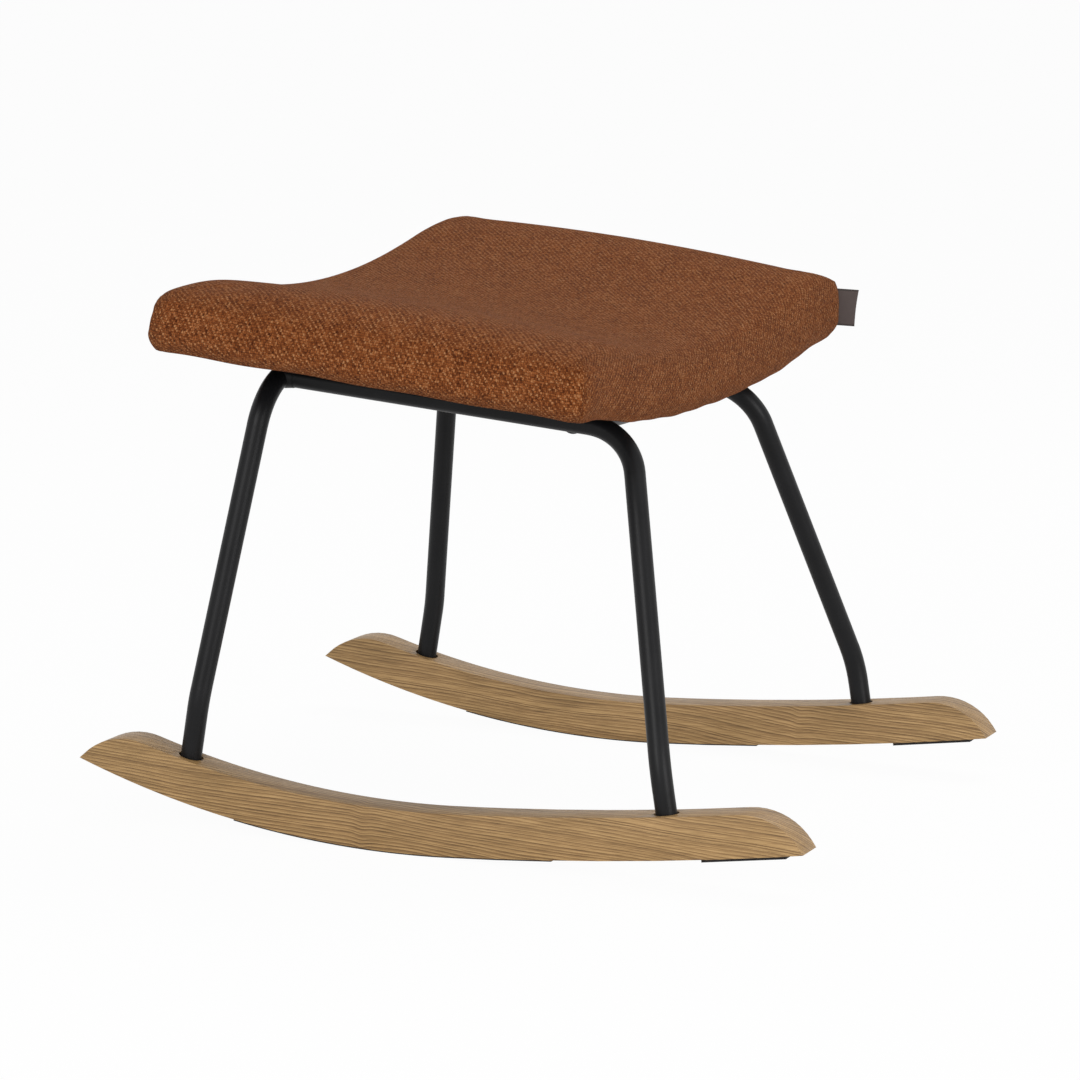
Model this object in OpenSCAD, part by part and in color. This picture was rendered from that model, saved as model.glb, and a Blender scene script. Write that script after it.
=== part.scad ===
// Rocking footstool: a saddle-shaped upholstered seat on a welded frame of bent steel
// tube that stands on a pair of ash rockers. Millimetres, +Z up, +X towards the low end.
// Everything is drawn with the seat level, over the point where the rockers would
// touch the floor, and is then rocked forward to the attitude in which it balances.

/* [Rockers] */
// Distance between the middle planes of the two rockers
rocker_spacing = 452; // [420:2:480]
// Thickness of a rocker across the stool
rocker_w = 30; // [26:1:34]
// Depth of a rocker, from its underside to its top
rocker_h = 32; // [30:1:36]
// Radius of the underside where the stool rocks
rocker_r = 754; // [700:2:800]
// Radius of the flatter underside towards the low end
flat_r = 2655; // [2000:5:3200]
// Slope at which the flatter part begins, in degrees
flat_from_angle = 8.7; // [8:0.1:9.5]
// Distance from the level-seat floor point to the rear tip
rear_reach = 191; // [184:1:198]
// Distance from the level-seat floor point to the front tip
front_reach = 387; // [380:1:394]
// Radius of the nose at each end of a rocker
nose_r = 50; // [44:1:56]
// Thickness of the grip strip bonded under the rocking part
strip_t = 1; // [0.8:0.1:1.5]
// Width of the grip strips and stop pads
strip_w = 22; // [16:1:24]
// Slope at which the grip strip begins, in degrees
strip_from_angle = -4.5; // [-5:0.1:-3]
// Slope at which the grip strip ends, in degrees
strip_to_angle = 10.5; // [10:0.1:11]
// Slope at which the stop pad begins, in degrees
pad_from_angle = 13; // [12.9:0.1:13.2]
// Slope at which the stop pad ends, in degrees
pad_to_angle = 14.4; // [14.2:0.1:14.4]
// Thickness of the stop pad
pad_t = 2.4; // [1.5:0.1:3]

/* [Frame] */
// Outside diameter of the frame tube
tube_d = 16; // [15:0.5:18]
// Wall of the frame tube
tube_wall = 1.5; // [1:0.1:2]
// Height of the side runs' front corners above the floor, seat level
top_h = 327.5; // [322.5:0.5:332.5]
// Distance from the seat's rear edge forward to the rear tube's arc under the seat
rear_top_in = 53; // [47:1:59]
// Place of the front top corner along the stool
front_top_x = 181; // [175:1:187]
// Rear legs' top corner, as its distance from the middle of the stool
rear_top_y = 177; // [173:1:181]
// How far the rear legs' top bends reach along the rail from that corner
rear_bend_reach = 42; // [38:1:46]
// Distance from the middle of the stool at which a side run meets the rear bend
run_rear_y = 152; // [150:1:155]
// Front top corner's distance from the middle of the stool
front_top_y = 131; // [127:1:135]
// Slope of the rocker where the rear leg stands, in degrees
rear_foot_angle = -8.4; // [-8.8:0.05:-8]
// Slope of the rocker where the front leg stands, in degrees
front_foot_angle = 12.4; // [12.2:0.05:12.5]
// Forward lean of the rear leg's lower end, in degrees
rear_lean_angle = 2.5; // [1:0.5:4]
// Backward lean of the front leg's lower end, in degrees
front_lean_angle = 15.5; // [14:0.5:17]
// Height of the rear leg's lower bend above the rocker, along the leg
rear_rise = 44; // [40:1:48]
// Height of the front leg's lower bend above the rocker, along the leg
front_rise = 32; // [30:1:38]
// Bend radius at the front top corners
top_bend_r = 45; // [41:1:49]
// Bend radius above the rockers
foot_bend_r = 80; // [60:1:90]
// Depth of the socket for the leg in the rocker's top
socket_depth = 13; // [12:1:14]
// Diameter of that socket
socket_d = 19; // [18.5:0.1:20]

/* [Cross rails] */
// Length of a weld bead along a cross rail
bead_l = 3; // [2:0.5:4]
// Thickness of a weld bead
bead_t = 1.5; // [1.2:0.1:3]
// Place of the front cross rail along the stool
front_rail_x = 134; // [130:1:138]
// Width of a seat tab along the rail
tab_w = 34; // [30:1:38]
// Reach of a seat tab beside the rail
tab_reach = 36; // [34:1:40]
// Thickness of a seat tab
tab_t = 3; // [2:0.5:4]
// Distance of the seat bolts from the middle of the stool
bolt_y = 92; // [86:1:96]
// Distance of a seat bolt from the axis of its cross rail
bolt_from_rail = 20; // [19:0.5:21]

/* [Seat] */
// Length of the seat along the stool
seat_l = 348; // [340:1:356]
// Width of the seat across the stool
seat_w = 572; // [564:1:578]
// Thickness of the upholstered seat
seat_t = 48; // [46:0.5:50]
// Place of the seat's middle along the stool
seat_x = 26; // [22:1:30]
// Radius of the hollow across the seat
hollow_r = 1000; // [960:10:1040]
// Radius of the rise beside each long edge
brow_r = 450; // [440:5:465]
// Steepest slope of the hollow, in degrees
hollow_angle = 10.6; // [10.4:0.1:10.7]
// Corner radius of the seat in plan
corner_r = 14; // [12:1:20]
// Roundness of the seat's top edge
top_round = 15; // [12:1:18]
// Roundness of the seat's bottom edge
bottom_round = 14; // [12:1:14]
// How far the cover draws in above and below the middle of a side
side_draw = 1.2; // [0.8:0.1:1.4]
// Swell of the seat's top between its edges
swell = 9; // [6:0.5:11]
// Thickness of the cover fabric
fabric_t = 1.5; // [1:0.1:1.8]
// Thickness of the moulded seat board
board_t = 10; // [9:0.5:11]
// Distance of the board's edge inside the cover
board_inset = 16; // [16:0.5:18]
// Width of the fabric turned under the board
hem_w = 45; // [40:1:50]
// Thickness of the dust cover
dust_t = 1; // [0.8:0.1:1.2]
// Distance of the dust cover's edge from the seat's edge
dust_inset = 20; // [19:1:24]

/* [Fasteners and trim] */
// Nominal diameter of all the bolts
bolt_d = 6; // [6:1:6]
// Diameter of a bolt head
head_d = 10; // [9:0.5:11]
// Height of a bolt head
head_h = 4; // [3:0.5:4.5]
// Diameter of a washer
washer_d = 14; // [12:0.5:14]
// Thickness of a washer
washer_t = 1.5; // [1:0.1:2]
// Diameter of the counterbore under a rocker
counterbore_d = 16; // [15:0.5:17]
// Depth of the counterbore under a rocker
counterbore_depth = 8; // [7:0.5:9]
// Length of the threaded plug in the end of a leg
insert_l = 20; // [16:1:24]
// Flange diameter of a tee nut
tee_flange_d = 18; // [16:0.5:20]
// Barrel diameter of a tee nut
tee_barrel_d = 8; // [7.5:0.5:9]
// Length of a staple's back
staple_w = 10; // [8:1:12]
// Thickness of the staple wire
staple_t = 0.7; // [0.5:0.1:1]
// Number of staples along each long edge
staples_long = 9; // [6:1:12]
// Number of staples along each end
staples_end = 13; // [8:1:16]
// Height of the bare woven label
label_h = 30; // [26:1:32]
// Reach of the label out of the corner seam
label_w = 17; // [14:1:20]
// Thickness of the label
label_t = 1.2; // [1:0.1:1.6]
// Depth of the label's top edge below the seat's top corner
label_drop = 9; // [7:1:11]
// Direction in which the label leaves the corner, in degrees from straight ahead
label_angle = 35; // [25:1:55]

/* [Attitude] */
// Angle through which the stool rocks forward to balance
rest_angle = 5.15; // [3:0.05:7]

/* [Hidden] */
$fn = 64;

right = -1;
left = 1;
rear = 0;
front = 1;
// Where legs, bolts and tabs repeat: the name, the side and the end of the stool.
quarters = [
    ["rear_right", right, rear], ["rear_left", left, rear],
    ["front_right", right, front], ["front_left", left, front]
];
repeated = [
    "weld_bead", "seat_tab", "leg_insert", "rocker_bolt", "rocker_washer",
    "tee_nut", "seat_bolt", "seat_washer"
];
tube_r = tube_d / 2;
tube_bore_r = tube_r - tube_wall;
half_spacing = rocker_spacing / 2;
bolt_r = bolt_d / 2;
slack = 0.4;
wood = [0.79, 0.62, 0.40];
black = [0.07, 0.07, 0.075];
bend_step = 0.05;
swell_power = 8;
foam_inset = 4;
ease = 0.3;
rust = [0.60, 0.27, 0.12];
ply = [0.80, 0.66, 0.46];
foam = [0.93, 0.89, 0.78];
brown = [0.20, 0.16, 0.15];
steel = [0.66, 0.67, 0.68];

// Rocker curve. A place on it is given by the slope there: the main arc runs up to
// flat_from_angle and the flatter arc carries on from it without a break.
arc_mid = [0, rocker_r + strip_t];
flat_mid = arc_mid + (rocker_r - flat_r) * [sin(flat_from_angle), -cos(flat_from_angle)];
function mid_at(a) = a > flat_from_angle ? flat_mid : arc_mid;
function radius_at(a) = a > flat_from_angle ? flat_r : rocker_r;
function on_rocker(a, up) = mid_at(a) + (radius_at(a) - up) * [sin(a), -cos(a)];
function rocker_run(from, to, up, n) = [for (i = [0:n]) on_rocker(from + (to - from) * i / n, up)];
rear_tip_angle = -asin(rear_reach / rocker_r);
front_tip_angle = asin((front_reach - flat_mid.x) / flat_r);

// A nose is an arc tangent to the rocker's top that ends at the tip on its underside.
// Seen from the nose's centre, the tip lies this far round from the tangent point.
nose_drop = acos((nose_r - rocker_h) / nose_r);
function nose_shift(r) = atan(nose_r * sin(nose_drop) / r);
function nose(a, turn, n) =
    let (c = on_rocker(a, rocker_h - nose_r))
    [for (i = [1:n]) c + nose_r * [sin(-turn * nose_drop * i / n - a), cos(nose_drop * i / n + turn * a)]];
rear_nose_angle = rear_tip_angle + nose_shift(rocker_r);
front_nose_angle = front_tip_angle - nose_shift(flat_r);

rear_top_x = seat_x - seat_l / 2 + rear_top_in;
front_top = [front_top_x, top_h];
// A foot is the rocker's slope there and the lean of the leg's lower end from upright.
rear_foot = [rear_foot_angle, rear_lean_angle];
front_foot = [front_foot_angle, -front_lean_angle];
feet = [rear_foot, front_foot];
rail_xs = [rear_top_x, front_rail_x];
function inward(end) = end == rear ? 1 : -1;
function foot_point(foot, up) = on_rocker(foot[0], rocker_h) + up * [sin(foot[1]), cos(foot[1])];
function through(foot) = rocker_h / cos(foot[0] + foot[1]);
function at(p, y) = [p.x, y, p.y];
function top_y(x) =
    run_rear_y + (front_top_y - run_rear_y) * (x - rear_top_x) / (front_top_x - rear_top_x);

// Saddle curve across the seat. off is the depth below the seat's top surface.
brow_y = (hollow_r + brow_r) * sin(hollow_angle);
brow_mid_z = hollow_r - (hollow_r + brow_r) * cos(hollow_angle);
function saddle_z(y, off) =
    abs(y) <= (hollow_r + off) * sin(hollow_angle)
        ? hollow_r - sqrt(pow(hollow_r + off, 2) - y * y)
        : brow_mid_z + sqrt(pow(brow_r - off, 2) - pow(abs(y) - brow_y, 2));
foam_off = fabric_t + slack;
board_top = seat_t - board_t;
hem_off = seat_t - fabric_t;
tab_top = seat_t + dust_t;
rail_off = tab_top + tab_t + tube_r;

// The front rail meets the side runs at the height of their front corners, and the seat
// lies on the tabs over the rails, which gives the height of the seat's top.
rail_r = hollow_r + rail_off;
seat_h = top_h + rail_off - (rail_r - sqrt(pow(rail_r, 2) - pow(top_y(front_rail_x), 2)));
bolt_angle = asin(bolt_y / (hollow_r + tab_top));
rail_reach_angle = 12;

// The rear frame is one tube: up a leg, round a bend that ends on the arc under the
// hollow, along that arc and down the other leg. A side run starts from the bend's axis
// and is bent down at its front into the front leg.
rear_corner_r = norm([rail_r, rear_bend_reach]);
rear_corner_angle = asin(rear_top_y / rear_corner_r);
rear_rail_angle = rear_corner_angle - atan(rear_bend_reach / rail_r);
function under_seat(side, a, r) = [rear_top_x, side * r * sin(a), seat_h + hollow_r - r * cos(a)];
function rear_path(side) = [
    at(foot_point(rear_foot, -socket_depth), side * half_spacing),
    at(foot_point(rear_foot, rear_rise), side * half_spacing),
    under_seat(side, rear_corner_angle, rear_corner_r), under_seat(side, rear_rail_angle, rail_r)
];
rear_turn = bend_turn(rear_path(left), 2);
rear_bend_r = rear_bend_reach / tan(rear_turn / 2);
rear_bends = [0, foot_bend_r, rear_bend_r, 0];
function side_path(side) = [
    run_start(side), at(front_top, side * front_top_y),
    at(foot_point(front_foot, front_rise), side * half_spacing),
    at(foot_point(front_foot, -socket_depth), side * half_spacing)
];
side_bends = [0, top_bend_r, foot_bend_r, 0];

// The point of the rear bend's axis that lies run_rear_y from the middle of the stool.
function run_start(side) =
    let (b = bend_frame(rear_path(left), 2, rear_bend_r))
    let (reach = rear_bend_r * norm([b[1].y, b[2].y]))
    let (a = atan2(b[2].y, b[1].y) + acos((run_rear_y - b[0].y) / reach))
    let (p = b[0] + rear_bend_r * (b[1] * cos(a) + b[2] * sin(a)))
    [p.x, side * p.y, p.z];

// Rest attitude: rocked forward about the main arc's centre, floor at zero height,
// the middle of the stool's length over the origin.
function rested_x(p) = (p.x - arc_mid.x) * cos(rest_angle) + (p.y - arc_mid.y) * sin(rest_angle);
rear_end = rested_x(on_rocker(rear_tip_angle, 0));
front_end = rested_x(on_rocker(front_tip_angle, 0));
mid_shift = -(rear_end + front_end) / 2;

module at_rest() {
    translate([mid_shift, 0, arc_mid.y])
        rotate([0, rest_angle, 0])
            translate([-arc_mid.x, 0, -arc_mid.y])
                children();
}

// Placement at a slope on a rocker, local Z pointing up through the wood.
module on_wood(side, a, up) {
    p = on_rocker(a, up);
    translate([p.x, side * half_spacing, p.y]) rotate([0, -a, 0]) children();
}

// Placement on a foot's axis, z = 0 at the rocker's top, local Z pointing up the leg.
module on_foot(side, foot, up) {
    p = foot_point(foot, up);
    translate([p.x, side * half_spacing, p.y]) rotate([0, foot[1], 0]) children();
}

// The seat's own frame: the middle of its top surface.
module on_seat() {
    translate([seat_x, 0, seat_h]) children();
}

// Placement under the hollow, turned to the hollow's slope, local Z pointing up.
module under_hollow(x, a, off) {
    translate([x, 0, hollow_r]) rotate([a, 0, 0]) translate([0, 0, -hollow_r - off]) children();
}

module at_seat_bolt(side, end) {
    x = rail_xs[end] + inward(end) * bolt_from_rail;
    on_seat() under_hollow(x - seat_x, side * bolt_angle, 0) children();
}

module at_seat_bolts() {
    for (quarter = quarters) at_seat_bolt(quarter[1], quarter[2]) children();
}

module rocker_side_view() {
    n = 60;
    m = 10;
    top_run = rocker_run(rear_nose_angle, front_nose_angle, rocker_h, n);
    rear_nose = nose(rear_nose_angle, 1, m);
    front_nose = nose(front_nose_angle, -1, m);
    polygon(concat(
        rocker_run(rear_tip_angle, front_tip_angle, 0, n), [for (i = [m - 2:-1:0]) front_nose[i]],
        [for (i = [n:-1:0]) top_run[i]], [for (i = [0:m - 2]) rear_nose[i]]
    ));
}

module rocker(side) {
    color(wood)
        difference() {
            translate([0, side * half_spacing + rocker_w / 2, 0])
                rotate([90, 0, 0])
                    linear_extrude(rocker_w) rocker_side_view();
            for (foot = feet) {
                on_foot(side, foot, -socket_depth) cylinder(h = 2 * socket_depth, d = socket_d);
                on_foot(side, foot, -2 * rocker_h) cylinder(h = 2 * rocker_h, r = bolt_r + slack);
                on_foot(side, foot, counterbore_depth - through(foot) - rocker_h)
                    cylinder(h = rocker_h, d = counterbore_d);
            }
        }
}

// The strip follows the underside from one slope to another, across both arcs.
module grip_strip(side) {
    n = 32;
    under = rocker_run(strip_from_angle, strip_to_angle, -strip_t, n);
    over = rocker_run(strip_from_angle, strip_to_angle, 0, n);
    color(black)
        translate([0, side * half_spacing + strip_w / 2, 0])
            rotate([90, 0, 0])
                linear_extrude(strip_w)
                    polygon(concat(under, [for (i = [n:-1:0]) over[i]]));
}

module stop_pad(side) {
    p = on_rocker((pad_from_angle + pad_to_angle) / 2, 0);
    run = flat_r * (pad_to_angle - pad_from_angle) * PI / 180;
    color(black)
        on_wood(side, (pad_from_angle + pad_to_angle) / 2, -pad_t)
            translate([-run / 2, -strip_w / 2, 0]) cube([run, strip_w, pad_t]);
}

// Straight rod from p to q.
module rod(p, q, r) {
    d = q - p;
    translate(p) rotate([0, acos(d.z / norm(d)), atan2(d.y, d.x)]) cylinder(h = norm(d), r = r);
}

// Direction from one point to another, and the turn of a path at its corner i.
function toward(p, q) = (q - p) / norm(q - p);
function bend_turn(path, i) = 180 - acos(toward(path[i], path[i - 1]) * toward(path[i], path[i + 1]));

// A bend's middle and its axes: towards its beginning, along its way, and across.
function bend_frame(path, i, bend_r) =
    let (u = toward(path[i], path[i - 1]), v = toward(path[i], path[i + 1]), turn = bend_turn(path, i))
    let (middle = path[i] + (u + v) / norm(u + v) * bend_r / cos(turn / 2))
    let (ex = (path[i] + u * bend_r * tan(turn / 2) - middle) / bend_r)
    let (ez = cross(ex, path[i] + v * bend_r * tan(turn / 2) - middle) / bend_r / sin(turn))
    [middle, ex, cross(ez, ex), ez];

// Bend of a rod at corner i of a path.
module bend(path, i, bend_r, r) {
    b = bend_frame(path, i, bend_r);
    multmatrix([
        [b[1].x, b[2].x, b[3].x, b[0].x],
        [b[1].y, b[2].y, b[3].y, b[0].y],
        [b[1].z, b[2].z, b[3].z, b[0].z]
    ])
        rotate_extrude(angle = bend_turn(path, i)) translate([bend_r, 0]) circle(r = r);
}

// How much of each leg of corner i the bend takes up.
function bend_take(path, bends, i) = bends[i] == 0 ? 0 : bends[i] * tan(bend_turn(path, i) / 2);

// The straight lengths run a little into the bends, which are a hair fuller. The last
// straight length is left out where the path is open, ending with a bend.
module bent_rod(path, bends, r, open = false) {
    last = len(path) - 1;
    for (i = [0:open ? last - 2 : last - 1]) {
        d = (path[i + 1] - path[i]) / norm(path[i + 1] - path[i]);
        p = path[i] + d * (bends[i] == 0 ? 0 : bend_take(path, bends, i) - slack);
        q = path[i + 1] - d * (bends[i + 1] == 0 ? 0 : bend_take(path, bends, i + 1) - slack);
        rod(p, q, r);
    }
    for (i = [1:last - 1]) bend(path, i, bends[i], r + bend_step);
}

// The rear frame as a solid rod. Its arc runs slack into the bends.
module rear_rod(r) {
    reach = rear_rail_angle + asin(slack / rail_r);
    for (side = [right, left]) bent_rod(rear_path(side), rear_bends, r, open = true);
    on_seat()
        revolve_across(0, hollow_r, -reach, reach)
            translate([rail_r, rear_top_x - seat_x]) circle(r = r, $fn = 48);
}

module rear_frame() {
    color(black)
        difference() {
            rear_rod(tube_r);
            rear_rod(tube_bore_r);
        }
}

module rear_bend(side) {
    bend(rear_path(side), 2, rear_bend_r, tube_r + bend_step);
}

module side_frame(side) {
    color(black)
        difference() {
            bent_rod(side_path(side), side_bends, tube_r);
            bent_rod(side_path(side), side_bends, tube_bore_r);
            rear_bend(side);
        }
}

// The straight run of a side frame as a solid, for cutting what meets it.
module side_run_rod(side) {
    rod(run_start(side), at(front_top, side * front_top_y), tube_r);
}

// Arc across the stool under the hollow, drawn as a revolved profile about the
// hollow's axis. Angles are measured from straight down, towards the left side.
module revolve_across(y, z, from, to) {
    translate([0, y, z])
        rotate([0, 90, 0])
            rotate([0, 0, from])
                rotate_extrude(angle = to - from, $fn = 360) children();
}

module rail_rod(x, r) {
    on_seat()
        revolve_across(0, hollow_r, -rail_reach_angle, rail_reach_angle)
            translate([rail_r, x - seat_x]) circle(r = r, $fn = 48);
}

module cross_rail() {
    x = front_rail_x;
    color(black)
        difference() {
            rail_rod(x, tube_r);
            rail_rod(x, tube_bore_r);
            for (side = [right, left]) {
                side_run_rod(side);
                translate([x - seat_l, side * (top_y(x) + seat_w / 2) - seat_w / 2, 0])
                    cube([2 * seat_l, seat_w, 2 * seat_h]);
            }
        }
}

// A weld bead round the end of a tube, which lies at z = 0 and is met from above.
module bead(h) {
    cylinder(h = h, r1 = tube_r + bead_t, r2 = tube_r + slack);
}

// In front the bead joins the cross rail to a side run, and behind it joins the run to
// the rear bend.
module weld_bead(side, end) {
    bead_y = top_y(front_rail_x) - tube_r + bead_l;
    run = toward(run_start(side), at(front_top, side * front_top_y));
    color(black)
        if (end == front)
            difference() {
                on_seat()
                    under_hollow(front_rail_x - seat_x, side * asin(bead_y / rail_r), rail_off)
                        rotate([side * 90, 0, 0])
                            bead(2 * bead_l);
                rail_rod(front_rail_x, tube_r);
                side_run_rod(side);
            }
        else
            difference() {
                translate(run_start(side) + run * tube_r / 2)
                    rotate([0, acos(run.z), atan2(run.y, run.x)])
                        bead(tube_r / 2 + bead_l);
                rear_bend(side);
                side_run_rod(side);
            }
}

module seat_tab(side, end) {
    half_a = asin(tab_w / 2 / hollow_r);
    x = rail_xs[end] - inward(end) * tube_r;
    color(black)
        difference() {
            on_seat()
                revolve_across(0, hollow_r, side * bolt_angle - half_a, side * bolt_angle + half_a)
                    translate([hollow_r + tab_top, min(x, x + inward(end) * tab_reach) - seat_x])
                        square([tab_t, tab_reach]);
            at_seat_bolt(side, end) translate([0, 0, -rail_off]) cylinder(h = seat_t, r = bolt_r + slack);
        }
}

module leg_insert(side, end) {
    color(steel)
        on_foot(side, feet[end], -socket_depth)
            difference() {
                cylinder(h = insert_l, r = tube_bore_r);
                cylinder(h = insert_l, r = bolt_r);
            }
}

// A bolt whose head rests on z = 0 and points down, its shank running up.
module bolt(shank_l) {
    difference() {
        union() {
            translate([0, 0, -head_h]) cylinder(h = head_h, d = head_d);
            cylinder(h = shank_l, r = bolt_r);
        }
        translate([0, 0, -head_h]) cylinder(h = head_h / 2, d = head_d / 2, $fn = 6);
    }
}

module washer() {
    difference() {
        cylinder(h = washer_t, d = washer_d);
        cylinder(h = washer_t, r = bolt_r + slack);
    }
}

module rocker_bolt(side, end) {
    head_up = counterbore_depth - through(feet[end]) - washer_t;
    color(steel) on_foot(side, feet[end], head_up) bolt(insert_l - socket_depth - head_up);
}

module rocker_washer(side, end) {
    color(steel) on_foot(side, feet[end], counterbore_depth - through(feet[end]) - washer_t) washer();
}

// A sheet that follows the saddle, from one depth below the top to another,
// out to half_y each way and from x0 to x1 in the seat's frame.
module saddle_sheet(off0, off1, half_y, x0, x1) {
    n = 96;
    ys = [for (i = [0:n]) half_y * (2 * i / n - 1)];
    upper = [for (y = ys) [y, saddle_z(y, off0)]];
    lower = [for (y = ys) [y, saddle_z(y, off1)]];
    translate([x0, 0, 0])
        rotate([90, 0, 90])
            linear_extrude(x1 - x0) polygon(concat(upper, [for (i = [n:-1:0]) lower[i]]));
}

// The seat's plan, inset by d, as an upright column round the seat.
module plan_column(d) {
    x = seat_l / 2 - d - corner_r;
    y = seat_w / 2 - d - corner_r;
    translate([0, 0, -2 * seat_t])
        linear_extrude(4 * seat_t) {
            square([2 * x, 2 * (y + corner_r)], center = true);
            square([2 * (x + corner_r), 2 * y], center = true);
            for (i = [-1, 1])
                for (j = [-1, 1])
                    translate([i * x, j * y]) circle(r = corner_r);
        }
}

// Moulded board, with a rebate round its underside for the turned hem.
module seat_board() {
    half_l = seat_l / 2 - board_inset;
    half_w = seat_w / 2 - board_inset;
    flush_l = seat_l / 2 - hem_w - slack;
    flush_w = seat_w / 2 - hem_w - slack;
    color(ply)
        difference() {
            on_seat()
                intersection() {
                    saddle_sheet(board_top, seat_t, half_w, -half_l, half_l);
                    plan_column(board_inset);
                }
            on_seat()
                difference() {
                    saddle_sheet(
                        hem_off - ease, seat_t + slack, half_w + slack, -half_l - slack, half_l + slack
                    );
                    translate([-flush_l, -flush_w, -seat_h]) cube([2 * flush_l, 2 * flush_w, 2 * seat_h]);
                }
            at_seat_bolts()
                translate([0, 0, -seat_t - board_t])
                    cylinder(h = 2 * board_t + slack, d = tee_barrel_d);
        }
}

module tee_nut(side, end) {
    color(steel)
        at_seat_bolt(side, end)
            translate([0, 0, -seat_t + slack])
                difference() {
                    union() {
                        cylinder(h = board_t - slack, d = tee_barrel_d);
                        translate([0, 0, board_t - slack]) cylinder(h = washer_t, d = tee_flange_d);
                    }
                    cylinder(h = board_t + washer_t, r = bolt_r);
                }
}

module seat_bolt(side, end) {
    under = tab_top + tab_t + washer_t;
    color(steel) at_seat_bolt(side, end) translate([0, 0, -under]) bolt(under - board_top + washer_t);
}

module seat_washer(side, end) {
    color(steel) at_seat_bolt(side, end) translate([0, 0, -tab_top - tab_t - washer_t]) washer();
}

// Outline of the seat in plan, inset by d: [x, y] of point i of outline_n.
corner_n = 3;
long_n = 2;
end_n = 17;
quarter_n = corner_n + 1;
outline_n = 4 * quarter_n + 2 * long_n + 2 * end_n;
// However far the outline is inset, its corners keep this share of their radius.
corner_least_share = 0.2;
function corner_at(d) = max(corner_r - d, corner_r * corner_least_share);
function corner(cx, cy, from, d) =
    [for (i = [0:corner_n]) let (a = from + 90 * i / corner_n) [cx, cy] + corner_at(d) * [cos(a), sin(a)]];
function side_run(p, q, n) = [for (i = [1:n]) p + (q - p) * i / (n + 1)];
function outline(d) =
    let (r = corner_at(d))
    let (x = seat_l / 2 - d - r, y = seat_w / 2 - d - r)
    let (a = corner(x, -y, -90, d), b = corner(x, y, 0, d))
    let (c = corner(-x, y, 90, d), e = corner(-x, -y, 180, d))
    concat(a, side_run(a[corner_n], b[0], end_n), b, side_run(b[corner_n], c[0], long_n),
           c, side_run(c[corner_n], e[0], end_n), e, side_run(e[corner_n], a[0], long_n));

// A ring of the seat's skin: the outline inset by d, off below the top surface,
// shrunk towards the middle by scale s, and lifted where the padding swells.
function swell_at(p) =
    swell * cos(90 * min(1, abs(p.x) * 2 / seat_l)) * cos(90 * pow(abs(p.y) * 2 / seat_w, swell_power));
function ring(d, off, s, puff) =
    [for (p = outline(d)) let (q = p * s) [q.x, q.y, saddle_z(q.y, off) + puff * swell_at(q)]];

// Rings on the crown of the top lie at these shares of the outline, and the crown's
// edge has this share of the swell.
crown_shares = [0.86, 0.7, 0.5, 0.26];
edge_share = 0.3;
// Halfway round an edge, the skin lies in by this share of the edge's roundness.
halfway_share = 1 - cos(45);

// Outer rings, from the inner edge of the hem, round the side, to the middle of the top.
top_in = top_round * halfway_share;
bottom_in = bottom_round * halfway_share;
outer_rings = [
    ring(hem_w, seat_t - ease, 1, 0), ring(bottom_round, seat_t - ease, 1, 0),
    ring(bottom_in, seat_t - bottom_in, 1, 0), ring(side_draw, seat_t - bottom_round, 1, 0),
    ring(0, seat_t / 2, 1, 0), ring(side_draw, top_round, 1, 0),
    ring(top_in, top_in, 1, 0), ring(top_round, 0, 1, edge_share),
    for (share = crown_shares) ring(top_round, 0, share, 1)
];
inner_rings = [
    for (i = [len(crown_shares) - 1:-1:0]) ring(top_round, fabric_t, crown_shares[i], 1),
    ring(top_round, fabric_t, 1, edge_share), ring(top_in + fabric_t, top_in + fabric_t, 1, 0),
    ring(side_draw + fabric_t, top_round + fabric_t, 1, 0),
    ring(side_draw + fabric_t, seat_t - bottom_round, 1, 0),
    ring(bottom_in + fabric_t, hem_off - bottom_in, 1, 0), ring(bottom_round + fabric_t, hem_off, 1, 0),
    ring(hem_w, hem_off, 1, 0)
];

// Closes a stack of rings, given as a list of equal rings, with bands of triangles.
function band(k, n) =
    [for (i = [0:n - 1]) each [
        [k * n + i, k * n + (i + 1) % n, (k + 1) * n + i],
        [k * n + (i + 1) % n, (k + 1) * n + (i + 1) % n, (k + 1) * n + i]
    ]];
function fan(k, n, tip, flip) =
    [for (i = [0:n - 1]) let (a = k * n + i, b = k * n + (i + 1) % n) flip ? [b, a, tip] : [a, b, tip]];

module seat_skin() {
    n = outline_n;
    all_rings = concat(outer_rings, inner_rings);
    // The stack runs outside from the hem up to the middle, then inside back down.
    o = len(outer_rings);
    m = len(inner_rings);
    points = concat([for (r = all_rings) each r], [[0, 0, swell], [0, 0, swell - fabric_t]]);
    faces = concat(
        [for (k = [0:o - 2]) each band(k, n)], fan(o - 1, n, (o + m) * n, false),
        fan(o, n, (o + m) * n + 1, true), [for (k = [o:o + m - 2]) each band(k, n)],
        [for (i = [0:n - 1]) each [
            [(o + m - 1) * n + i, (o + m - 1) * n + (i + 1) % n, i],
            [(o + m - 1) * n + (i + 1) % n, (i + 1) % n, i]
        ]]
    );
    polyhedron(points = points, faces = [for (f = faces) [f[0], f[2], f[1]]]);
}

// A closed solid from a stack of rings with an apex below and one above.
module stacked(rings, low, high) {
    n = outline_n;
    m = len(rings);
    points = concat([for (r = rings) each r], [low, high]);
    faces = concat(
        fan(0, n, m * n, true), [for (k = [0:m - 2]) each band(k, n)], fan(m - 1, n, m * n + 1, false)
    );
    polyhedron(points = points, faces = [for (f = faces) [f[0], f[2], f[1]]]);
}

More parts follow.
